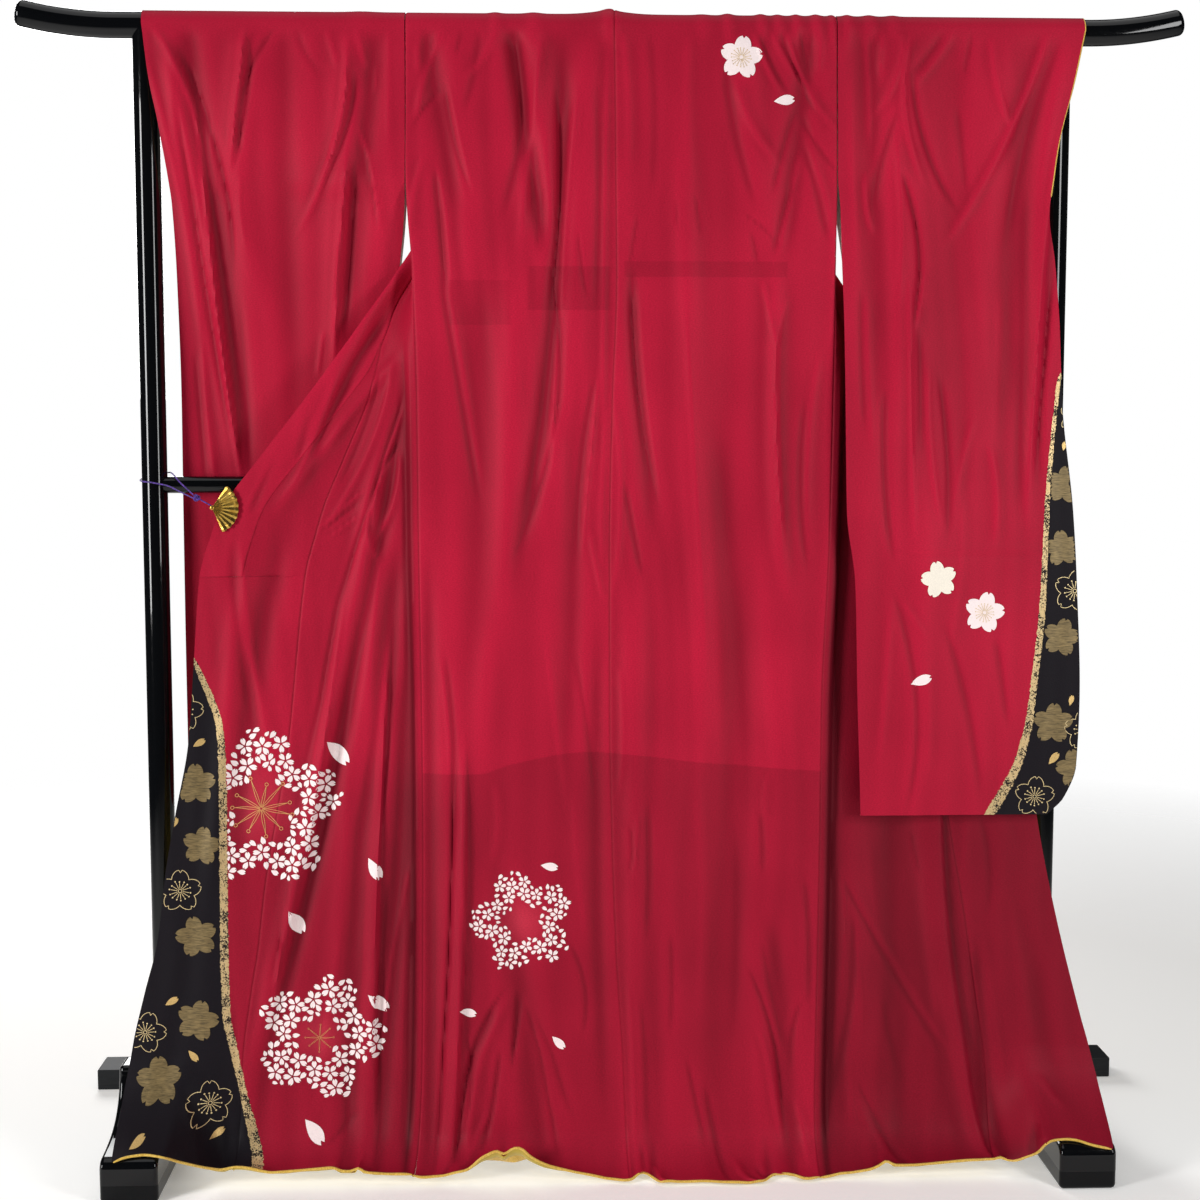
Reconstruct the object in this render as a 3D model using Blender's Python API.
"""A furisode hung by its sleeves on a lacquered kimono rack, seen from the back.

Sizes are metres, +Z is up and the rack's pole lies along X. The camera side of the
rack is -Y. Every cloth piece is a thin closed sheet, lofted through rows whose ends
come from the short tables below. "Forward" is the distance in front of the pole's
axis, "drop" is the length of cloth below the pole's axis, and a negative drop is the
stretch that lies over the pole.
"""

from collections import namedtuple
from math import cos, pi, radians, sin

import bmesh
import bpy
import numpy as np

# Driving sizes of the rack
POLE_HEIGHT = 1.576
POLE_RADIUS = 0.0175
POLE_HALF_LENGTH = 0.79
POLE_STRAIGHT_HALF = 0.66
POLE_TIP_RISE = 0.016
POST_CENTRE_X = 0.621
POST_RADIUS = 0.0172
RAIL_HEIGHT = 0.959
RAIL_RADIUS = 0.0115
FOOT_CENTRE_X = 0.652
FOOT_WIDTH = 0.078
FOOT_SOLE_HEIGHT = 0.025
FOOT_TOE_FORWARD = 0.150
FOOT_TOP_HEIGHT = 0.145
REAR_BAR_BEHIND = 0.280
REAR_BAR_DEPTH = 0.063
REAR_BAR_TALL = 0.032
REAR_BAR_HALF_LENGTH = 0.806
FOOT_NOSE_RADIUS = 0.016
FOOT_NOSE_TOP = 0.0615
POLE_SEAT_HALF = 0.05
RAIL_SEAT_HALF = 0.03

# The foot's top line from the nose to the rear bar, forward of the post's middle
FootPoint = namedtuple("FootPoint", "forward height")
FOOT_TOP_LINE = [
    FootPoint(0.105, 0.0655),
    FootPoint(0.075, 0.0725),
    FootPoint(0.052, 0.0840),
    FootPoint(0.036, 0.1000),
    FootPoint(0.026, 0.1210),
    FootPoint(0.022, 0.1450),
    FootPoint(-0.022, 0.1450),
    FootPoint(-0.026, 0.1210),
    FootPoint(-0.036, 0.1000),
    FootPoint(-0.052, 0.0840),
    FootPoint(-0.080, 0.0700),
    FootPoint(-0.140, 0.0550),
]
FOOT_BACK_HEIGHT = 0.036

# The box's middle lies between the toes and the rear bar, so the pole stands in front of it.
POLE_Y = (FOOT_TOE_FORWARD - REAR_BAR_BEHIND - REAR_BAR_DEPTH) / 2

# Driving sizes of the cloth
GAP = 0.0003
WALL = 0.0016
COLLAR_WALL = 0.0024
CLOTH_RADIUS = POLE_RADIUS + GAP + WALL / 2
SHOULDER_ANGLE = radians(120)
TAIL_TOP = 0.165
ARMHOLE_END = 1.377
SIDE_SEAM_TOP = 1.290
CUFF_OPENING_END = 1.350
SLEEVE_HEM = 0.502
OKUMI_TOP = 1.130
COLLAR_END = 0.835
NECK_COLLAR_DEPTH = 0.052
SEAM_LIP = 0.009
SEAM_STEP = 0.009
BULB_SHARE = 0.1
SWEPT_GAPS = 7.0
HEM_ROLL_RADIUS = 0.0022
CUFF_PIPING_RADIUS = 0.0009

# Where the toes lift the hem off the floor
TOE_RISE_START = 0.53
TOE_RISE_END = 0.60

BackRow = namedtuple("BackRow", "height left centre right forward")
BACK = [
    BackRow(1.576, -0.2705, 0.011, 0.3125, 0.0186),
    BackRow(1.500, -0.2710, 0.012, 0.3130, 0.0215),
    BackRow(1.377, -0.2715, 0.013, 0.3140, 0.0260),
    BackRow(1.232, -0.2625, 0.014, 0.3070, 0.0310),
    BackRow(1.074, -0.2580, 0.008, 0.3045, 0.0345),
    BackRow(0.867, -0.2570, 0.004, 0.3010, 0.0375),
    BackRow(0.654, -0.2550, 0.004, 0.2955, 0.0395),
    BackRow(0.524, -0.2545, 0.006, 0.2980, 0.0410),
    BackRow(0.310, -0.2560, 0.013, 0.2960, 0.0430),
    BackRow(0.165, -0.2580, 0.022, 0.2940, 0.0450),
    BackRow(0.000, -0.2690, 0.031, 0.2930, 0.0450),
]

FrontRow = namedtuple("FrontRow", "height edge forward swell")
LEFT_FRONT = [
    FrontRow(1.576, -0.069, -0.0186, 0.000),
    FrontRow(1.500, -0.113, -0.0150, 0.006),
    FrontRow(1.400, -0.182, -0.0080, 0.012),
    FrontRow(1.340, -0.224, -0.0040, 0.012),
    FrontRow(1.300, -0.251, -0.0020, 0.017),
    FrontRow(1.256, -0.280, 0.0030, 0.030),
    FrontRow(1.174, -0.338, 0.0190, 0.022),
    FrontRow(1.077, -0.409, 0.0320, 0.010),
    FrontRow(0.992, -0.475, 0.0380, 0.004),
    FrontRow(0.929, -0.522, 0.0430, 0.000),
    FrontRow(0.899, -0.535, 0.0440, 0.000),
    FrontRow(0.834, -0.554, 0.0450, 0.000),
    FrontRow(0.721, -0.564, 0.0450, 0.000),
    FrontRow(0.606, -0.574, 0.0450, 0.000),
    FrontRow(0.510, -0.593, 0.0450, 0.000),
    FrontRow(0.429, -0.608, 0.0460, 0.000),
    FrontRow(0.328, -0.622, 0.0460, 0.000),
    FrontRow(0.256, -0.641, 0.0460, 0.000),
    FrontRow(0.181, -0.659, 0.0460, 0.000),
    FrontRow(0.000, -0.679, 0.0460, 0.000),
]
RIGHT_FRONT = [
    FrontRow(1.576, 0.091, -0.0186, 0.000),
    FrontRow(1.500, 0.142, -0.0150, 0.006),
    FrontRow(1.400, 0.209, -0.0080, 0.012),
    FrontRow(1.340, 0.250, -0.0060, 0.012),
    FrontRow(1.300, 0.278, -0.0050, 0.015),
    FrontRow(1.256, 0.310, -0.0010, 0.028),
    FrontRow(1.174, 0.366, 0.0080, 0.022),
    FrontRow(1.077, 0.434, 0.0170, 0.010),
    FrontRow(0.992, 0.490, 0.0230, 0.004),
    FrontRow(0.929, 0.526, 0.0270, 0.000),
    FrontRow(0.834, 0.553, 0.0300, 0.000),
    FrontRow(0.700, 0.575, 0.0320, 0.000),
    FrontRow(0.501, 0.603, 0.0360, 0.000),
    FrontRow(0.362, 0.631, 0.0400, 0.000),
    FrontRow(0.207, 0.671, 0.0440, 0.000),
    FrontRow(0.077, 0.710, 0.0450, 0.000),
    FrontRow(0.000, 0.719, 0.0450, 0.000),
]

# Shares of a front row's width, from the side seam to the open edge
ShareRow = namedtuple("ShareRow", "height okumi collar")
FRONT_SHARES = [
    ShareRow(1.576, 0.700, 0.720),
    ShareRow(1.300, 0.700, 0.720),
    ShareRow(1.220, 0.600, 0.620),
    ShareRow(1.160, 0.510, 0.530),
    ShareRow(1.130, 0.485, 0.530),
    ShareRow(1.074, 0.450, 0.627),
    ShareRow(1.005, 0.470, 0.730),
    ShareRow(0.923, 0.490, 0.787),
    ShareRow(0.835, 0.525, 0.805),
    ShareRow(0.735, 0.550, 0.820),
    ShareRow(0.527, 0.589, 0.850),
    ShareRow(0.326, 0.620, 0.870),
    ShareRow(0.000, 0.615, 0.880),
]

SleeveRow = namedtuple("SleeveRow", "height inner outer near_inner near_outer")
FarRow = namedtuple("FarRow", "height inner outer far_inner far_outer")
LEFT_SLEEVE = [
    SleeveRow(1.576, -0.2715, -0.622, 0.0186, 0.0186),
    SleeveRow(1.500, -0.2715, -0.612, 0.0215, 0.0245),
    SleeveRow(1.440, -0.2718, -0.601, 0.0240, 0.0215),
    SleeveRow(1.377, -0.2725, -0.5935, 0.0260, 0.0060),
    SleeveRow(1.340, -0.2760, -0.5905, 0.0120, -0.0040),
    SleeveRow(1.240, -0.3020, -0.5870, -0.0090, -0.0110),
    SleeveRow(1.100, -0.3160, -0.5860, -0.0200, -0.0200),
    SleeveRow(0.960, -0.3200, -0.5870, -0.0240, -0.0230),
    SleeveRow(0.700, -0.3250, -0.5880, -0.0260, -0.0250),
    SleeveRow(0.560, -0.3250, -0.5880, -0.0280, -0.0270),
    SleeveRow(0.520, -0.3260, -0.5820, -0.0300, -0.0290),
    SleeveRow(0.502, -0.3260, -0.5660, -0.0320, -0.0320),
]
LEFT_FAR_SLEEVE = [
    FarRow(1.576, -0.2715, -0.622, -0.0186, -0.0186),
    FarRow(1.500, -0.2715, -0.612, -0.0225, -0.0225),
    FarRow(1.440, -0.2718, -0.601, -0.0240, -0.0220),
    FarRow(1.377, -0.2725, -0.5935, -0.0250, -0.0120),
    FarRow(1.340, -0.2760, -0.5905, -0.0270, -0.0085),
    FarRow(1.240, -0.3020, -0.5870, -0.0360, -0.0140),
    FarRow(1.100, -0.3160, -0.5860, -0.0420, -0.0230),
    FarRow(0.960, -0.3200, -0.5870, -0.0450, -0.0260),
    FarRow(0.700, -0.3250, -0.5880, -0.0460, -0.0280),
    FarRow(0.560, -0.3250, -0.5880, -0.0440, -0.0300),
    FarRow(0.520, -0.3260, -0.5820, -0.0380, -0.0320),
    FarRow(0.502, -0.3260, -0.5660, -0.0350, -0.0350),
]
RIGHT_SLEEVE = [
    SleeveRow(1.576, 0.3135, 0.652, 0.0186, 0.0186),
    SleeveRow(1.503, 0.3140, 0.636, 0.0214, 0.0250),
    SleeveRow(1.424, 0.3148, 0.616, 0.0243, 0.0270),
    SleeveRow(1.377, 0.3150, 0.609, 0.0260, 0.0270),
    SleeveRow(1.334, 0.3180, 0.6045, 0.0300, 0.0270),
    SleeveRow(1.264, 0.3230, 0.614, 0.0390, 0.0300),
    SleeveRow(1.183, 0.3260, 0.620, 0.0480, 0.0370),
    SleeveRow(1.074, 0.3270, 0.624, 0.0580, 0.0450),
    SleeveRow(0.923, 0.3290, 0.641, 0.0620, 0.0510),
    SleeveRow(0.824, 0.3390, 0.648, 0.0630, 0.0530),
    SleeveRow(0.664, 0.3440, 0.655, 0.0630, 0.0550),
    SleeveRow(0.570, 0.3480, 0.652, 0.0620, 0.0560),
    SleeveRow(0.525, 0.3500, 0.635, 0.0605, 0.0575),
    SleeveRow(0.502, 0.3510, 0.612, 0.0590, 0.0590),
]
RIGHT_FAR_SLEEVE = [
    FarRow(1.576, 0.3135, 0.652, -0.0186, -0.0186),
    FarRow(1.545, 0.3135, 0.636, -0.0205, -0.0215),
    FarRow(1.503, 0.3140, 0.605, -0.0225, -0.0225),
    FarRow(1.470, 0.3145, 0.595, -0.0240, -0.0190),
    FarRow(1.424, 0.3148, 0.592, -0.0245, -0.0040),
    FarRow(1.377, 0.3150, 0.594, -0.0250, 0.0140),
    FarRow(1.334, 0.3180, 0.6030, -0.0120, 0.0240),
    FarRow(1.264, 0.3230, 0.6135, 0.0080, 0.0270),
    FarRow(1.183, 0.3260, 0.620, 0.0300, 0.0340),
    FarRow(1.074, 0.3270, 0.624, 0.0440, 0.0420),
    FarRow(0.923, 0.3290, 0.641, 0.0490, 0.0480),
    FarRow(0.824, 0.3390, 0.648, 0.0500, 0.0500),
    FarRow(0.664, 0.3440, 0.655, 0.0500, 0.0520),
    FarRow(0.570, 0.3480, 0.652, 0.0510, 0.0530),
    FarRow(0.525, 0.3500, 0.635, 0.0540, 0.0545),
    FarRow(0.502, 0.3510, 0.612, 0.0560, 0.0560),
]

# The last stretch of the hem bends forward: onto the floor, or over the toes
TailRow = namedtuple("TailRow", "step floor_forward floor_height toe_forward toe_height")
TAIL = [
    TailRow(0, 0.000, 0.165, 0.000, 0.165),
    TailRow(1, 0.000, 0.125, 0.008, 0.138),
    TailRow(2, 0.002, 0.087, 0.022, 0.116),
    TailRow(3, 0.007, 0.055, 0.039, 0.099),
    TailRow(4, 0.018, 0.029, 0.054, 0.086),
    TailRow(5, 0.036, 0.014, 0.068, 0.077),
    TailRow(6, 0.056, 0.009, 0.080, 0.072),
]

# Places where the hem stands off the floor
LiftRow = namedtuple("LiftRow", "x width rise")
HEM_LIFTS = [
    LiftRow(-0.128, 0.034, 0.030),
    LiftRow(0.040, 0.012, 0.006),
    LiftRow(0.232, 0.015, 0.008),
    LiftRow(0.388, 0.014, 0.013),
    LiftRow(0.470, 0.050, 0.009),
    LiftRow(-0.500, 0.030, 0.005),
]

# A fold runs from its top to its foot through its middle, and stands forward by its rise
Fold = namedtuple("Fold", "top_x top middle_x foot_x foot width rise")
BACK_FOLDS = [
    Fold(-0.132, 1.60, -0.108, -0.084, 1.28, 0.013, -0.011),
    Fold(-0.098, 1.60, -0.085, -0.066, 1.20, 0.020, 0.005),
    Fold(-0.060, 1.52, -0.070, -0.119, 0.87, 0.012, -0.009),
    Fold(-0.028, 1.56, -0.036, -0.046, 1.10, 0.022, 0.004),
    Fold(-0.178, 1.25, -0.172, -0.165, 0.70, 0.026, -0.006),
    Fold(-0.125, 1.22, -0.142, -0.178, 0.60, 0.024, 0.006),
    Fold(-0.041, 1.05, -0.048, -0.052, 0.60, 0.016, -0.005),
    Fold(-0.249, 1.60, -0.226, -0.204, 1.34, 0.014, -0.005),
    Fold(-0.215, 1.58, -0.190, -0.182, 1.20, 0.022, 0.004),
    Fold(0.035, 1.24, 0.045, 0.064, 0.90, 0.010, -0.004),
    Fold(0.100, 1.42, 0.122, 0.143, 0.62, 0.024, 0.006),
    Fold(0.141, 1.05, 0.178, 0.205, 0.55, 0.028, -0.006),
    Fold(0.232, 1.22, 0.228, 0.246, 0.82, 0.012, 0.005),
    Fold(0.273, 1.60, 0.262, 0.248, 1.30, 0.014, -0.005),
    Fold(0.180, 1.60, 0.195, 0.215, 1.30, 0.026, 0.004),
    Fold(-0.150, 0.42, -0.118, -0.090, 0.03, 0.020, -0.006),
    Fold(0.070, 0.60, 0.085, 0.110, 0.02, 0.030, 0.005),
    Fold(0.230, 0.34, 0.250, 0.262, 0.02, 0.016, -0.006),
    Fold(-0.205, 0.50, -0.212, -0.220, 0.04, 0.018, 0.005),
]
LEFT_FRONT_FOLDS = [
    Fold(-0.276, 1.08, -0.366, -0.475, 0.16, 0.013, -0.010),
    Fold(-0.296, 1.06, -0.392, -0.505, 0.10, 0.016, 0.007),
    Fold(-0.300, 1.19, -0.360, -0.402, 0.98, 0.010, -0.006),
    Fold(-0.288, 1.13, -0.372, -0.445, 0.93, 0.013, 0.007),
    Fold(-0.290, 0.86, -0.312, -0.336, 0.46, 0.016, -0.007),
    Fold(-0.312, 0.94, -0.342, -0.372, 0.30, 0.018, 0.007),
    Fold(-0.275, 0.72, -0.292, -0.325, 0.05, 0.014, -0.008),
    Fold(-0.440, 0.90, -0.486, -0.512, 0.45, 0.018, -0.006),
    Fold(-0.500, 0.82, -0.530, -0.552, 0.40, 0.020, 0.006),
    Fold(-0.560, 0.60, -0.585, -0.618, 0.12, 0.020, -0.006),
]
RIGHT_FRONT_FOLDS = [
    Fold(0.468, 0.62, 0.492, 0.582, 0.04, 0.012, -0.009),
    Fold(0.440, 0.60, 0.462, 0.540, 0.03, 0.018, 0.006),
    Fold(0.520, 0.30, 0.534, 0.548, 0.03, 0.010, -0.005),
    Fold(0.340, 0.60, 0.350, 0.362, 0.05, 0.024, 0.005),
    Fold(0.395, 0.58, 0.405, 0.420, 0.05, 0.024, -0.005),
    Fold(0.600, 0.36, 0.628, 0.660, 0.05, 0.024, -0.005),
]
LEFT_SLEEVE_FOLDS = [
    Fold(-0.590, 1.56, -0.548, -0.515, 1.00, 0.014, 0.007),
    Fold(-0.560, 1.58, -0.528, -0.495, 1.00, 0.014, -0.006),
    Fold(-0.478, 1.60, -0.500, -0.470, 1.20, 0.018, 0.004),
    Fold(-0.430, 1.60, -0.436, -0.430, 1.10, 0.022, -0.004),
    Fold(-0.345, 1.58, -0.364, -0.380, 1.05, 0.020, 0.005),
    Fold(-0.310, 1.56, -0.330, -0.350, 1.20, 0.014, -0.005),
]
RIGHT_SLEEVE_FOLDS = [
    Fold(0.585, 1.56, 0.554, 0.548, 0.98, 0.026, -0.007),
    Fold(0.612, 1.52, 0.588, 0.590, 1.06, 0.014, 0.005),
    Fold(0.395, 1.60, 0.402, 0.397, 1.00, 0.030, 0.005),
    Fold(0.350, 1.60, 0.362, 0.370, 1.10, 0.020, -0.005),
    Fold(0.470, 1.60, 0.476, 0.480, 0.90, 0.034, -0.004),
    Fold(0.440, 1.00, 0.436, 0.430, 0.52, 0.036, 0.004),
]

# The clip that holds the left front out to its post
FAN_RADIUS = 0.036
FAN_RIBS = 9
FAN_HALF_SPREAD = radians(62)
FAN_THICKNESS = 0.0012
FAN_EYE_RADIUS = 0.0022
FAN_MIDDLE_SHARE = 0.55
FAN_PLEAT_DEPTH = 0.0012
FAN_PIVOT = (-0.5350, 0.9290)
FAN_TILT = radians(-6)
JAW_LENGTH = 0.027
JAW_WIDTH = 0.007
JAW_PLATE = 0.0012
JAW_CLEARANCE = 0.0008
JAW_SET_IN = 0.003
CORD_RADIUS = 0.001
CORD_POINTS = 51
KNOT_RADIUS = 0.0052

CordPoint = namedtuple("CordPoint", "x forward height")
CORD_ROUTE = [
    CordPoint(-0.5605, 0.0480, 0.9425),
    CordPoint(-0.5780, 0.0400, 0.9500),
    CordPoint(-0.5980, 0.0255, 0.9580),
    CordPoint(-0.6210, 0.0198, 0.9625),
    CordPoint(-0.6350, 0.0142, 0.9640),
    CordPoint(-0.6405, 0.0000, 0.9660),
    CordPoint(-0.6350, -0.0142, 0.9690),
    CordPoint(-0.6210, -0.0198, 0.9725),
    CordPoint(-0.6065, -0.0140, 0.9755),
    CordPoint(-0.5960, 0.0050, 0.9745),
    CordPoint(-0.5800, 0.0290, 0.9620),
    CordPoint(-0.5598, 0.0464, 0.9462),
]

# Rows and columns of the sheets
ARC_STEP = radians(17.5)
HANG_STEP = 0.085
SLEEVE_BEND_HEIGHTS = (CUFF_OPENING_END, 0.515, 0.535)
CUFF_BEND_HEIGHTS = (1.54, 1.465)
NOTCH = 0.0005
EDGE_HEIGHTS = (COLLAR_END + NOTCH, COLLAR_END - NOTCH, FAN_PIVOT[1])
SEAM_HEIGHTS = (ARMHOLE_END, 1.30, 1.245, 1.19, 1.13)
TAIL_STEPS = 6
NECK_COLLAR_STEP = 0.02
BACK_COLUMNS = 13
SLEEVE_COLUMNS = 11
FRONT_COLUMNS = 9
OKUMI_COLUMNS = 5
COLLAR_COLUMNS = 3
TUBE_SIDES = 6

CRIMSON = (0.36, 0.013, 0.03)
MUSTARD = (0.45, 0.33, 0.03)
LACQUER = (0.004, 0.004, 0.005)
MATTE_BLACK = (0.03, 0.03, 0.032)
GOLD = (0.60, 0.45, 0.15)
PURPLE = (0.06, 0.01, 0.28)


def smoothstep(low, high, value):
    share = np.clip((np.asarray(value, float) - low) / (high - low), 0.0, 1.0)
    return share * share * (3.0 - 2.0 * share)


def mix(first, second, share):
    return first + (second - first) * share


def column(rows, name, height):
    """The named column of a table at any height: a smooth curve that stays between its rows."""
    x = np.array([row[0] for row in rows], float)
    y = np.array([getattr(row, name) for row in rows], float)
    if x[0] > x[-1]:
        x, y = x[::-1], y[::-1]
    run = np.diff(x)
    slope = np.diff(y) / run
    tangent = np.zeros(len(x))
    same_way = slope[:-1] * slope[1:] > 0
    total = slope[:-1] + slope[1:]
    total[~same_way] = 1.0
    tangent[1:-1] = np.where(same_way, 2 * slope[:-1] * slope[1:] / total, 0.0)
    tangent[0] = slope[0]
    tangent[-1] = slope[-1]
    at = np.clip(np.asarray(height, float), x[0], x[-1])
    i = np.clip(np.searchsorted(x, at) - 1, 0, len(x) - 2)
    t = (at - x[i]) / run[i]
    return (
        y[i] * (1 + 2 * t) * (1 - t) ** 2
        + run[i] * tangent[i] * t * (1 - t) ** 2
        + y[i + 1] * t * t * (3 - 2 * t)
        + run[i] * tangent[i + 1] * t * t * (t - 1)
    )


def relief(folds, x, height):
    """How far the folds stand forward of the plain cloth."""
    total = np.zeros(np.broadcast(x, height).shape)
    for fold in folds:
        run = np.clip((fold.top - height) / (fold.top - fold.foot), -0.3, 1.3)
        line = (
            fold.top_x * (1 - run) * (1 - 2 * run)
            + fold.middle_x * 4 * run * (1 - run)
            + fold.foot_x * run * (2 * run - 1)
        )
        ends = smoothstep(-0.10, 0.15, run) * (1 - smoothstep(0.78, 1.12, run))
        total = total + fold.rise * ends * np.exp(-(((x - line) / fold.width) ** 2))
    below_pole = smoothstep(POLE_HEIGHT, POLE_HEIGHT - 0.06, height)
    return total * below_pole


def tail_path(x, height):
    """Forward distance and height of the bent hem, where the plain cloth would be at height."""
    step = np.clip((TAIL_TOP - height) / TAIL_TOP, 0.0, 1.0) * TAIL[-1].step
    over_toe = smoothstep(TOE_RISE_START, TOE_RISE_END, np.abs(x))
    forward = mix(column(TAIL, "floor_forward", step), column(TAIL, "toe_forward", step), over_toe)
    level = mix(column(TAIL, "floor_height", step), column(TAIL, "toe_height", step), over_toe)
    near_hem = smoothstep(3.5, TAIL[-1].step, step)
    for lift in HEM_LIFTS:
        level = level + lift.rise * near_hem * np.exp(-(((x - lift.x) / lift.width) ** 2))
    return forward, level


def hung(x, drop, forward_at, facing):
    """Forward distance and height of cloth that hangs from the pole on the facing side."""
    over = np.clip(-drop, 0.0, None) / CLOTH_RADIUS
    height = POLE_HEIGHT - np.clip(drop, 0.0, None)
    forward = forward_at(x, np.maximum(height, TAIL_TOP))
    bent, level = tail_path(x, height)
    in_tail = height < TAIL_TOP
    forward = np.where(in_tail, forward + bent, forward)
    level = np.where(in_tail, level, height)
    on_pole = drop < 0
    forward = np.where(on_pole, facing * CLOTH_RADIUS * np.cos(over), forward)
    level = np.where(on_pole, POLE_HEIGHT + CLOTH_RADIUS * np.sin(over), level)
    return forward, level


def stacked(x, forward, level):
    x, forward, level = np.broadcast_arrays(x, forward, level)
    return np.stack([x, POLE_Y - forward, level], axis=-1)


def unit(vectors):
    return vectors / np.linalg.norm(vectors, axis=-1, keepdims=True)


def back_forward(x, height):
    return column(BACK, "forward", height)


def hung_surface(x, drop, forward_at, folds, facing):
    """Points of a hanging sheet's middle, and the way its camera side faces."""
    probe = 0.0008
    above = hung(x, drop - probe, forward_at, facing)
    below = hung(x, drop + probe, forward_at, facing)
    forward, level = hung(x, drop, forward_at, facing)
    ahead = below[0] - above[0]
    down = below[1] - above[1]
    normal = unit(np.stack([0.0 * ahead, down, ahead], axis=-1))
    points = stacked(x, forward, level)
    height = POLE_HEIGHT - np.clip(drop, 0.0, None)
    rise = relief(folds, x, height)
    return points + normal * rise[..., None], normal * facing


def back_surface(x, drop):
    return hung_surface(x, drop, back_forward, BACK_FOLDS, 1)


def sleeve_layer(rows, near, folds):
    """A function that gives one layer of a sleeve at a share of its width and a drop."""
    inner_name = "near_inner" if near else "far_inner"
    outer_name = "near_outer" if near else "far_outer"

    def surface(share, drop):
        height = POLE_HEIGHT - np.clip(drop, 0.0, None)
        inner = column(rows, "inner", height)
        outer = column(rows, "outer", height)
        x = mix(inner, outer, share)

        def forward_at(at_x, at_height):
            span = column(rows, "outer", at_height) - column(rows, "inner", at_height)
            across = (at_x - column(rows, "inner", at_height)) / span
            return mix(
                column(rows, inner_name, at_height),
                column(rows, outer_name, at_height),
                smoothstep(0.0, 1.0, across),
            )

        return hung_surface(x, drop, forward_at, folds, 1 if near else -1)

    return surface


def side_forward(side, height):
    """Forward distance of a front's side edge: on the back's below, on the sleeve's above."""
    far_rows = LEFT_FAR_SLEEVE if side < 0 else RIGHT_FAR_SLEEVE
    at_sleeve = column(far_rows, "far_inner", np.maximum(height, ARMHOLE_END))
    return mix(back_forward(0.0, height), at_sleeve, smoothstep(SIDE_SEAM_TOP, ARMHOLE_END, height))


def front_base(side, share, drop):
    """A point of the opened front before its folds: rows sweep from the side seam to the edge."""
    rows = LEFT_FRONT if side < 0 else RIGHT_FRONT
    height = POLE_HEIGHT - np.clip(drop, 0.0, None)
    seam_x = column(BACK, "left" if side < 0 else "right", height)
    edge_x = column(rows, "edge", height)
    plain = np.maximum(height, TAIL_TOP)
    seam_forward = side_forward(side, plain)
    edge_forward = column(rows, "forward", plain)
    swell = column(rows, "swell", height)
    bell = swell * (4 * share * (1 - share)) ** 2
    bulb = swell * BULB_SHARE * 4 * share * (1 - share) * np.sin(2 * pi * share)
    across, ahead = edge_x - seam_x, edge_forward - seam_forward
    span = np.hypot(across, ahead)
    x = seam_x + across * share + (side * ahead * bell - across * bulb) / span
    forward = seam_forward + ahead * share + (-side * across * bell - ahead * bulb) / span
    from_seam = (x - seam_x) * side
    joined = 1 - smoothstep(1.06, 1.18, height)
    dive = smoothstep(SEAM_LIP, SEAM_LIP + 0.009, from_seam) * (1 - smoothstep(0.3, 0.9, share))
    forward = forward - SEAM_STEP * joined * dive * smoothstep(0.02, 0.14, height)
    bent, level = tail_path(x, height)
    in_tail = height < TAIL_TOP
    forward = np.where(in_tail, forward + bent, forward)
    level = np.where(in_tail, level, height)
    over = np.clip(-drop, 0.0, None) / CLOTH_RADIUS
    forward = np.where(drop < 0, -CLOTH_RADIUS * np.cos(over), forward)
    level = np.where(drop < 0, POLE_HEIGHT + CLOTH_RADIUS * np.sin(over), level)
    return stacked(x, forward, level)


def front_surface(side, share, drop):
    """Points of an opened front's middle, and the way its right side faces."""
    across = 0.004
    probe = 0.0008
    folds = LEFT_FRONT_FOLDS if side < 0 else RIGHT_FRONT_FOLDS
    centre = front_base(side, share, drop)
    wide = front_base(side, share + across, drop) - front_base(side, share - across, drop)
    long = front_base(side, share, drop + probe) - front_base(side, share, drop - probe)
    normal = unit(np.cross(wide, long)) * -side
    height = POLE_HEIGHT - np.clip(drop, 0.0, None)
    seam_x = column(BACK, "left" if side < 0 else "right", height)
    from_seam = (centre[..., 0] - seam_x) * side
    own = smoothstep(0.004, 0.035, from_seam) * (1 - smoothstep(0.80, 0.93, share))
    lower = 1 - smoothstep(1.16, 1.22, height)
    shared_rise = relief(BACK_FOLDS, seam_x, height) * (1 - smoothstep(0.0, 0.03, from_seam))
    rise = (own * relief(folds, centre[..., 0], height) + shared_rise) * lower
    return centre + normal * rise[..., None], normal


def drops(top_drop, foot_drop, extra_heights=()):
    """Row drops from the shoulder line to the foot, the same for every sheet that shares a seam."""
    over = np.linspace(top_drop, 0.0, 1 + int(np.ceil(-top_drop / CLOTH_RADIUS / ARC_STEP)))
    hang_end = min(foot_drop, POLE_HEIGHT - TAIL_TOP)
    hang = np.arange(HANG_STEP, hang_end - HANG_STEP / 2, HANG_STEP)
    tail = np.linspace(hang_end, foot_drop, TAIL_STEPS + 1)
    heights = [height for height in (*SEAM_HEIGHTS, *extra_heights) if POLE_HEIGHT - height < foot_drop]
    extra = POLE_HEIGHT - np.array(heights)
    return np.unique(np.round(np.concatenate([over, hang, tail, extra]), 5))


def grid_faces(rows, columns):
    """Faces of a closed sheet: its two sides, then its four edges."""
    layer = rows * columns
    faces = []
    for row in range(rows - 1):
        for col in range(columns - 1):
            a = row * columns + col
            faces.append((a, a + 1, a + columns + 1, a + columns))
            faces.append((layer + a, layer + a + columns, layer + a + columns + 1, layer + a + 1))
    rim = list(range(columns))
    rim += [row * columns + columns - 1 for row in range(1, rows)]
    rim += [(rows - 1) * columns + col for col in range(columns - 2, -1, -1)]
    rim += [row * columns for row in range(rows - 2, 0, -1)]
    for a, b in zip(rim, rim[1:] + rim[:1]):
        faces.append((b, a, layer + a, layer + b))
    return faces


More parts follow.
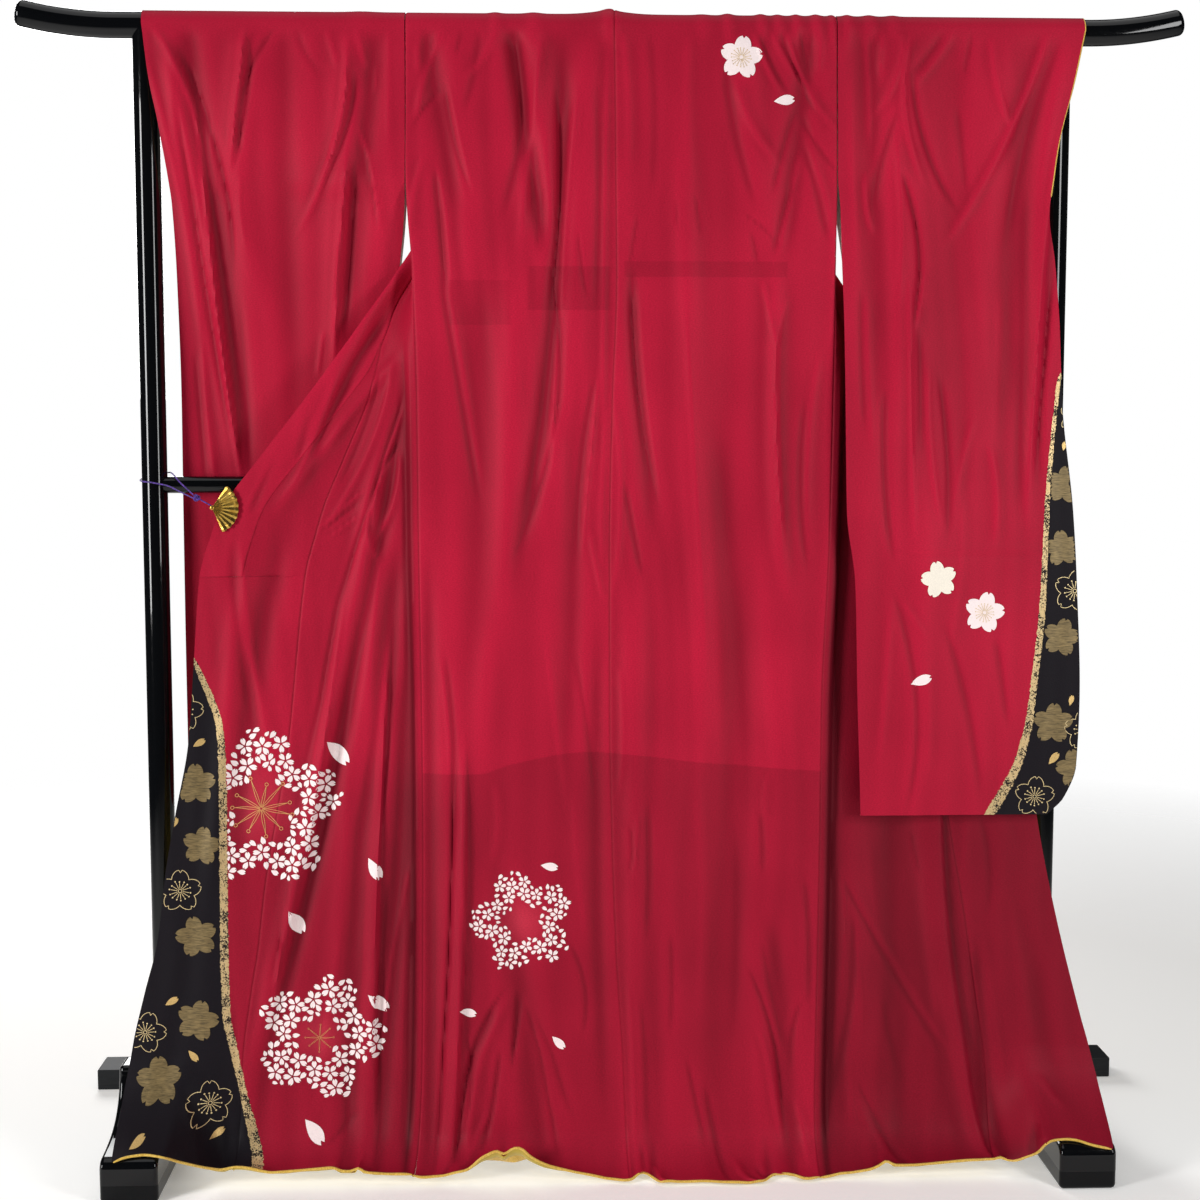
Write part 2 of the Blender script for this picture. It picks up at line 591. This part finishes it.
def material(name, colour, roughness, metallic=0.0):
    made = bpy.data.materials.new(name)
    made.use_nodes = True
    shader = made.node_tree.nodes["Principled BSDF"]
    shader.inputs["Base Color"].default_value = (*colour, 1.0)
    shader.inputs["Roughness"].default_value = roughness
    shader.inputs["Metallic"].default_value = metallic
    made.diffuse_color = (*colour, 1.0)
    return made


def add_object(name, data, collection, colour, roughness, metallic=0.0):
    thing = bpy.data.objects.new(name, data)
    collection.objects.link(thing)
    data.materials.append(material(name, colour, roughness, metallic))
    return thing


def add_mesh(name, vertices, faces, collection, colour, roughness, metallic=0.0):
    mesh = bpy.data.meshes.new(name)
    mesh.from_pydata([tuple(point) for point in vertices], [], faces)
    shape = bmesh.new()
    shape.from_mesh(mesh)
    bmesh.ops.recalc_face_normals(shape, faces=shape.faces)
    shape.to_mesh(mesh)
    shape.free()
    return add_object(name, mesh, collection, colour, roughness, metallic)


def add_sheet(name, points, normals, wall, collection):
    """A closed sheet of cloth. A wall thicker than the plain cloth grows on its right side."""
    rows, columns = points.shape[:2]
    outer = points + normals * (wall - WALL / 2)
    inner = points - normals * WALL / 2
    vertices = np.concatenate([outer.reshape(-1, 3), inner.reshape(-1, 3)])
    return add_mesh(name, vertices, grid_faces(rows, columns), collection, CRIMSON, 0.75)


def add_tube(name, centres, radius, sides, collection, colour, roughness):
    """A tube with closed ends along the centres."""
    curve = bpy.data.curves.new(name, "CURVE")
    curve.dimensions = "3D"
    curve.bevel_depth = radius
    curve.bevel_resolution = max(0, (sides - 4) // 2)
    curve.use_fill_caps = True
    line = curve.splines.new("POLY")
    line.points.add(len(centres) - 1)
    for point, centre in zip(line.points, centres):
        point.co = (*centre, 1.0)
    return add_object(name, curve, collection, colour, roughness)


def even_route(points, count):
    """Evenly spaced points on a smooth curve through the given ones."""
    points = np.array(points, float)
    ends = np.vstack([2 * points[0] - points[1], points, 2 * points[-1] - points[-2]])
    fine = []
    for i in range(1, len(ends) - 2):
        for t in np.linspace(0.0, 1.0, 24, endpoint=False):
            before, start, end, after = ends[i - 1], ends[i], ends[i + 1], ends[i + 2]
            fine.append(
                0.5
                * (
                    2 * start
                    + (end - before) * t
                    + (2 * before - 5 * start + 4 * end - after) * t**2
                    + (3 * start - before - 3 * end + after) * t**3
                )
            )
    fine.append(points[-1])
    fine = np.array(fine)
    length = np.concatenate([[0.0], np.cumsum(np.linalg.norm(np.diff(fine, axis=0), axis=1))])
    at = np.linspace(0.0, length[-1], count)
    return np.stack([np.interp(at, length, fine[:, axis]) for axis in range(3)], axis=-1)


def spread(count):
    return np.linspace(0.0, 1.0, count)


def build_backs(collection):
    """The two back panels, which meet at the centre seam."""
    rows = drops(-CLOTH_RADIUS * SHOULDER_ANGLE, POLE_HEIGHT)[:, None]
    height = POLE_HEIGHT - np.clip(rows, 0.0, None)
    left = column(BACK, "left", height) + GAP / 2
    centre = column(BACK, "centre", height)
    right = column(BACK, "right", height) - GAP / 2
    across = spread(BACK_COLUMNS)[None, :]
    hems = []
    for name, start, end in (
        ("back_left", left, centre - GAP / 2),
        ("back_right", centre + GAP / 2, right),
    ):
        x = mix(start, end, across)
        points, normals = back_surface(x, rows + 0.0 * x)
        add_sheet(name, points, normals, WALL, collection)
        hems.append(points[-2:])
    return np.concatenate(hems, axis=1)


def build_sleeves(collection):
    """Each sleeve is one strip over the pole, parted here at the shoulder line."""
    for side, near_rows, far_rows, folds in (
        ("left", LEFT_SLEEVE, LEFT_FAR_SLEEVE, LEFT_SLEEVE_FOLDS),
        ("right", RIGHT_SLEEVE, RIGHT_FAR_SLEEVE, RIGHT_SLEEVE_FOLDS),
    ):
        foot = POLE_HEIGHT - SLEEVE_HEM
        near = sleeve_layer(near_rows, True, folds)
        far = sleeve_layer(far_rows, False, folds)
        split = -CLOTH_RADIUS * SHOULDER_ANGLE
        near_drops = drops(split, foot, SLEEVE_BEND_HEIGHTS)[:, None]
        far_split = -CLOTH_RADIUS * (pi - SHOULDER_ANGLE) + GAP
        far_drops = drops(far_split, foot, (*CUFF_BEND_HEIGHTS, 1.34, *SLEEVE_BEND_HEIGHTS))[:, None]
        share = spread(SLEEVE_COLUMNS)[None, :]
        for name, layer, rows in (
            (f"sleeve_{side}_back", near, near_drops),
            (f"sleeve_{side}_front", far, far_drops),
        ):
            points, normals = layer(share + 0.0 * rows, rows + 0.0 * share)
            add_sheet(name, points, normals, WALL, collection)


def front_part(side, start, end, columns, rows):
    """Points of one piece of a front, between two shares of each row."""
    share = mix(start, end, spread(columns)[None, :])
    return front_surface(side, share, rows + 0.0 * share)


def row_width(side, rows):
    """Width of an opened front's rows, no less than a folded row's cloth."""
    table = LEFT_FRONT if side < 0 else RIGHT_FRONT
    height = POLE_HEIGHT - np.clip(rows, 0.0, None)
    seam_x = column(BACK, "left" if side < 0 else "right", height)
    width = np.abs(column(table, "edge", height) - seam_x)
    return np.maximum(width, 0.05)


def seam_inset(side, share, rows):
    """Half a seam gap at a share of each row, as a share of the row."""
    probe = 0.002
    ends = front_base(side, share + probe, rows), front_base(side, share - probe, rows)
    pace = np.linalg.norm(ends[0] - ends[1], axis=-1) / (2 * probe)
    height = POLE_HEIGHT - np.clip(rows, 0.0, None)
    swept = smoothstep(1.10, 1.18, height) * (1 - smoothstep(1.54, 1.57, height))
    return GAP / 2 * (1 + SWEPT_GAPS * swept) / pace


def panel_shares(side, start, end, rows):
    """Shares of a front panel's columns: two close to the side seam, then even ones."""
    lip = np.minimum(SEAM_LIP / row_width(side, rows), 0.25 * end)
    others = mix(2 * lip, end, spread(FRONT_COLUMNS - 2)[None, :])
    return np.concatenate([start, lip, others], axis=1)


def build_fronts(collection):
    """Front panel, okumi and collar of each side, cut from one opened surface."""
    top = -CLOTH_RADIUS * (pi - SHOULDER_ANGLE) + GAP
    hems = {}
    for side, word in ((-1, "left"), (1, "right")):
        rows = drops(top, POLE_HEIGHT, EDGE_HEIGHTS)[:, None]
        height = POLE_HEIGHT - np.clip(rows, 0.0, None)
        okumi = column(FRONT_SHARES, "okumi", height)
        collar = column(FRONT_SHARES, "collar", height)
        seam = np.where(height < OKUMI_TOP, okumi, collar)
        start = seam_inset(side, 0.0 * rows, rows)
        share = panel_shares(side, start, seam - seam_inset(side, seam, rows), rows)
        panel, normals = front_surface(side, share, rows + 0.0 * share)
        add_sheet(f"front_{word}", panel, normals, WALL, collection)

        at_okumi = height[:, 0] < OKUMI_TOP
        rows_here, okumi, collar = rows[at_okumi], okumi[at_okumi], collar[at_okumi]
        with_collar = collar - seam_inset(side, collar, rows_here)
        end = np.where(height[at_okumi] > COLLAR_END, with_collar, 1.0)
        start = okumi + seam_inset(side, okumi, rows_here)
        wing, normals = front_part(side, start, end, OKUMI_COLUMNS, rows_here)
        add_sheet(f"okumi_{word}", wing, normals, WALL, collection)
        hems[word] = np.concatenate([panel[-2:], wing[-2:]], axis=1)

        at_collar = height[:, 0] > COLLAR_END
        rows_here = rows[at_collar]
        rows_here[-1] -= GAP + NOTCH
        collar = column(FRONT_SHARES, "collar", POLE_HEIGHT - np.clip(rows_here, 0.0, None))
        start = collar + seam_inset(side, collar, rows_here)
        band, normals = front_part(side, start, 1.0 + 0.0 * start, COLLAR_COLUMNS, rows_here)
        add_sheet(f"collar_{word}", band, normals, COLLAR_WALL, collection)
    return hems


def build_neck_collar(collection):
    """The stretch of collar behind the neck, which hangs on the far side of the pole."""
    top = -CLOTH_RADIUS * (pi - SHOULDER_ANGLE) + GAP
    rows = np.concatenate([np.linspace(top, 0.0, 5), [NECK_COLLAR_STEP, NECK_COLLAR_DEPTH]])[:, None]
    height = POLE_HEIGHT - np.clip(rows, 0.0, None)
    start = column(LEFT_FRONT, "edge", height) + GAP
    end = column(RIGHT_FRONT, "edge", height) - GAP
    x = mix(start, end, spread(BACK_COLUMNS)[None, :])

    def forward_at(at_x, at_height):
        return column(LEFT_FRONT, "forward", at_height) + 0.0 * at_x

    points, normals = hung_surface(x, rows + 0.0 * x, forward_at, [], -1)
    add_sheet("collar_neck", points, normals, COLLAR_WALL, collection)


def add_hem_roll(name, rows, collection):
    """A roll along a sheet's last row, one gap past its edge. Rows are the sheet's last two."""
    onward = unit(rows[1] - rows[0])
    centres = rows[1] + onward * (HEM_ROLL_RADIUS + GAP)
    centres[0] += unit(centres[1] - centres[0]) * HEM_ROLL_RADIUS / 2
    centres[-1] += unit(centres[-2] - centres[-1]) * HEM_ROLL_RADIUS / 2
    add_tube(name, centres, HEM_ROLL_RADIUS, TUBE_SIDES, collection, MUSTARD, 0.6)


def build_cuff_piping(collection):
    """The thin edge of lining that shows round each cuff, from below one side over the pole."""
    foot = POLE_HEIGHT - CUFF_OPENING_END
    step_out = CUFF_PIPING_RADIUS + 2 * GAP
    for word, sign, near_rows, far_rows, folds in (
        ("left", -1, LEFT_SLEEVE, LEFT_FAR_SLEEVE, LEFT_SLEEVE_FOLDS),
        ("right", 1, RIGHT_SLEEVE, RIGHT_FAR_SLEEVE, RIGHT_SLEEVE_FOLDS),
    ):
        near_drops = drops(-CLOTH_RADIUS * SHOULDER_ANGLE, foot)
        far_drops = drops(-CLOTH_RADIUS * (pi - SHOULDER_ANGLE) + GAP, foot, CUFF_BEND_HEIGHTS)
        near, near_out = sleeve_layer(near_rows, True, folds)(1.0 + 0.0 * near_drops, near_drops)
        far, far_out = sleeve_layer(far_rows, False, folds)(1.0 + 0.0 * far_drops, far_drops)
        line = np.concatenate([(near + GAP * near_out)[::-1], far + GAP * far_out])
        line[:, 0] += sign * step_out
        name = f"cuff_piping_{word}"
        add_tube(name, line, CUFF_PIPING_RADIUS, TUBE_SIDES, collection, MUSTARD, 0.6)


def add_cylinder(name, radius, start, end, collection, colour, roughness, sides=28):
    """A straight round bar from start to end."""
    start, end = np.array(start, float), np.array(end, float)
    mesh = bpy.data.meshes.new(name)
    shape = bmesh.new()
    length = float(np.linalg.norm(end - start))
    bmesh.ops.create_cone(
        shape, cap_ends=True, segments=sides, radius1=radius, radius2=radius, depth=length
    )
    shape.to_mesh(mesh)
    shape.free()
    thing = add_object(name, mesh, collection, colour, roughness)
    thing.location = tuple((start + end) / 2)
    if abs(end[0] - start[0]) > 0.5 * length:
        thing.rotation_euler = (0.0, pi / 2, 0.0)
    return thing


def add_box(name, low, high, collection, colour, roughness):
    mesh = bpy.data.meshes.new(name)
    shape = bmesh.new()
    bmesh.ops.create_cube(shape, size=1.0)
    low, high = np.array(low, float), np.array(high, float)
    for vertex in shape.verts:
        vertex.co = tuple((low + high) / 2 + np.array(vertex.co) * (high - low))
    shape.to_mesh(mesh)
    shape.free()
    return add_object(name, mesh, collection, colour, roughness)


def pole_centre(x):
    """The pole is straight between its posts and sweeps up at its tips."""
    past = np.clip(np.abs(x) - POLE_STRAIGHT_HALF, 0.0, None)
    reach = POLE_HALF_LENGTH - POLE_STRAIGHT_HALF
    return POLE_HEIGHT + POLE_TIP_RISE * (past / reach) ** 2


def build_pole(collection):
    tips = np.linspace(POLE_STRAIGHT_HALF, POLE_HALF_LENGTH, 7)
    x = np.concatenate([-tips[::-1], tips])
    centres = [(value, POLE_Y, float(pole_centre(value))) for value in x]
    add_tube("rack_pole", centres, POLE_RADIUS, 28, collection, LACQUER, 0.08)


def cut(target, cutter, cutters):
    """Cuts the cutter's shape out of the target and hides the cutter."""
    for group in list(cutter.users_collection):
        group.objects.unlink(cutter)
    cutters.objects.link(cutter)
    cutter.hide_render = True
    cutter.display_type = "WIRE"
    made = target.modifiers.new(cutter.name, "BOOLEAN")
    made.operation = "DIFFERENCE"
    made.solver = "EXACT"
    made.object = cutter


def foot_outline():
    """The upper part of a foot from the side: a rounded toe that sweeps up to the post."""
    outline = [(-FOOT_TOE_FORWARD, FOOT_SOLE_HEIGHT + GAP)]
    for turn in np.linspace(pi, pi / 2, 6):
        y = FOOT_NOSE_RADIUS - FOOT_TOE_FORWARD + FOOT_NOSE_RADIUS * cos(turn)
        z = FOOT_NOSE_TOP - FOOT_NOSE_RADIUS + FOOT_NOSE_RADIUS * sin(turn)
        outline.append((y, z))
    outline += [(-point.forward, point.height) for point in FOOT_TOP_LINE]
    back = REAR_BAR_BEHIND - GAP
    return outline + [(back, FOOT_BACK_HEIGHT), (back, FOOT_SOLE_HEIGHT + GAP)]


def build_feet(collection):
    for side, word in ((-1, "left"), (1, "right")):
        curve = bpy.data.curves.new(f"rack_foot_{word}", "CURVE")
        curve.dimensions = "2D"
        curve.fill_mode = "BOTH"
        curve.extrude = FOOT_WIDTH / 2
        outline = foot_outline()
        line = curve.splines.new("POLY")
        line.points.add(len(outline) - 1)
        for point, (y, z) in zip(line.points, outline):
            point.co = (y, z, 0.0, 1.0)
        line.use_cyclic_u = True
        foot = add_object(f"rack_foot_{word}", curve, collection, LACQUER, 0.08)
        foot.rotation_euler = (pi / 2, 0.0, pi / 2)
        foot.location = (side * FOOT_CENTRE_X, POLE_Y, 0.0)
        low_x = side * FOOT_CENTRE_X - FOOT_WIDTH / 2
        add_box(
            f"rack_sole_{word}",
            (low_x, POLE_Y - FOOT_TOE_FORWARD, 0.0),
            (low_x + FOOT_WIDTH, POLE_Y + REAR_BAR_BEHIND - GAP, FOOT_SOLE_HEIGHT),
            collection,
            MATTE_BLACK,
            0.7,
        )


def build_rack(collection, cutters):
    build_pole(collection)
    for side, word in ((-1, "left"), (1, "right")):
        x = side * POST_CENTRE_X
        foot = (x, POLE_Y, FOOT_TOP_HEIGHT + GAP)
        top = (x, POLE_Y, POLE_HEIGHT)
        name = f"rack_post_{word}"
        post = add_cylinder(name, POST_RADIUS, foot, top, collection, LACQUER, 0.08)
        seat = add_cylinder(
            f"pole_seat_{word}",
            POLE_RADIUS + GAP,
            (x - POLE_SEAT_HALF, POLE_Y, POLE_HEIGHT),
            (x + POLE_SEAT_HALF, POLE_Y, POLE_HEIGHT),
            cutters,
            LACQUER,
            0.5,
            sides=56,
        )
        cut(post, seat, cutters)
    rail_half = POST_CENTRE_X - POST_RADIUS - GAP
    rail = add_cylinder(
        "rack_mid_rail",
        RAIL_RADIUS,
        (-rail_half - POST_RADIUS, POLE_Y, RAIL_HEIGHT),
        (rail_half + POST_RADIUS, POLE_Y, RAIL_HEIGHT),
        collection,
        LACQUER,
        0.08,
        sides=20,
    )
    for side, word in ((-1, "left"), (1, "right")):
        socket = add_cylinder(
            f"rail_seat_{word}",
            POST_RADIUS + GAP,
            (side * POST_CENTRE_X, POLE_Y, RAIL_HEIGHT - RAIL_SEAT_HALF),
            (side * POST_CENTRE_X, POLE_Y, RAIL_HEIGHT + RAIL_SEAT_HALF),
            cutters,
            LACQUER,
            0.5,
            sides=56,
        )
        cut(rail, socket, cutters)
    build_feet(collection)
    add_box(
        "rack_rear_bar",
        (-REAR_BAR_HALF_LENGTH, POLE_Y + REAR_BAR_BEHIND, 0.0),
        (REAR_BAR_HALF_LENGTH, POLE_Y + REAR_BAR_BEHIND + REAR_BAR_DEPTH, REAR_BAR_TALL),
        collection,
        MATTE_BLACK,
        0.7,
    )


def clip_forward():
    """Forward distance of the cloth's middle where the clip holds it."""
    return float(column(LEFT_FRONT, "forward", FAN_PIVOT[1]))


def build_clip(collection):
    """A fan-shaped clip whose jaw holds the front's edge, and the cord that ties it to the post."""
    cloth = clip_forward()
    face = cloth + COLLAR_WALL - WALL / 2 + JAW_CLEARANCE
    pivot_x, pivot_z = FAN_PIVOT
    back = cloth - WALL / 2 - JAW_CLEARANCE
    throat_x = pivot_x + JAW_SET_IN
    profile = [
        (throat_x - JAW_PLATE, face + JAW_PLATE),
        (throat_x + JAW_LENGTH, face + JAW_PLATE),
        (throat_x + JAW_LENGTH, face),
        (throat_x, face),
        (throat_x, back),
        (throat_x + JAW_LENGTH, back),
        (throat_x + JAW_LENGTH, back - JAW_PLATE),
        (throat_x - JAW_PLATE, back - JAW_PLATE),
    ]
    curve = bpy.data.curves.new("clip_jaw", "CURVE")
    curve.dimensions = "2D"
    curve.fill_mode = "BOTH"
    curve.extrude = JAW_WIDTH / 2
    line = curve.splines.new("POLY")
    line.points.add(len(profile) - 1)
    for point, (x, forward) in zip(line.points, profile):
        point.co = (x, -forward, 0.0, 1.0)
    line.use_cyclic_u = True
    jaw = add_object("clip_jaw", curve, collection, GOLD, 0.3, 1.0)
    jaw.location = (0.0, POLE_Y, pivot_z)

    fan_face = face + JAW_PLATE + GAP
    count = 2 * FAN_RIBS + 1
    vertices = []
    for layer in (0, 1):
        for ring in (FAN_EYE_RADIUS, FAN_RADIUS * FAN_MIDDLE_SHARE, FAN_RADIUS):
            for i in range(count):
                angle = FAN_TILT - FAN_HALF_SPREAD + 2 * FAN_HALF_SPREAD * i / (count - 1)
                pleat = FAN_PLEAT_DEPTH * (i % 2) * ring / FAN_RADIUS
                forward = fan_face + pleat + layer * FAN_THICKNESS
                x = pivot_x + ring * cos(angle)
                z = pivot_z + ring * sin(angle)
                vertices.append((x, POLE_Y - forward, z))
    add_mesh("clip_fan", vertices, grid_faces(3, count), collection, GOLD, 0.3, 1.0)

    route = [(point.x, POLE_Y - point.forward, point.height) for point in CORD_ROUTE]
    centres = even_route(route, CORD_POINTS)
    add_tube("clip_cord", centres, CORD_RADIUS, 8, collection, PURPLE, 0.8)

    mesh = bpy.data.meshes.new("clip_knot")
    shape = bmesh.new()
    bmesh.ops.create_uvsphere(shape, u_segments=14, v_segments=8, radius=KNOT_RADIUS)
    shape.to_mesh(mesh)
    shape.free()
    knot = add_object("clip_knot", mesh, collection, PURPLE, 0.8)
    first = CORD_ROUTE[0]
    centre = np.array([first.x + KNOT_RADIUS + GAP, POLE_Y - first.forward, first.height])
    knot.location = tuple(centre)

    tie_end = np.array([throat_x - JAW_PLATE - CORD_RADIUS, POLE_Y - cloth, pivot_z + CORD_RADIUS])
    tie_start = centre + unit(tie_end - centre) * (KNOT_RADIUS + GAP)
    add_tube("clip_tie", [tie_start, tie_end], CORD_RADIUS, 8, collection, PURPLE, 0.8)


def main():
    for thing in list(bpy.data.objects):
        bpy.data.objects.remove(thing)
    garment = bpy.data.collections.new("furisode_on_rack")
    cutters = bpy.data.collections.new("cutters")
    cutters.hide_render = True
    bpy.context.scene.collection.children.link(garment)
    bpy.context.scene.collection.children.link(cutters)
    build_rack(garment, cutters)
    back_hem = build_backs(garment)
    build_sleeves(garment)
    front_hems = build_fronts(garment)
    build_neck_collar(garment)
    add_hem_roll("hem_roll_back", back_hem, garment)
    for word, rows in front_hems.items():
        add_hem_roll(f"hem_roll_{word}", rows, garment)
    build_cuff_piping(garment)
    build_clip(garment)


main()
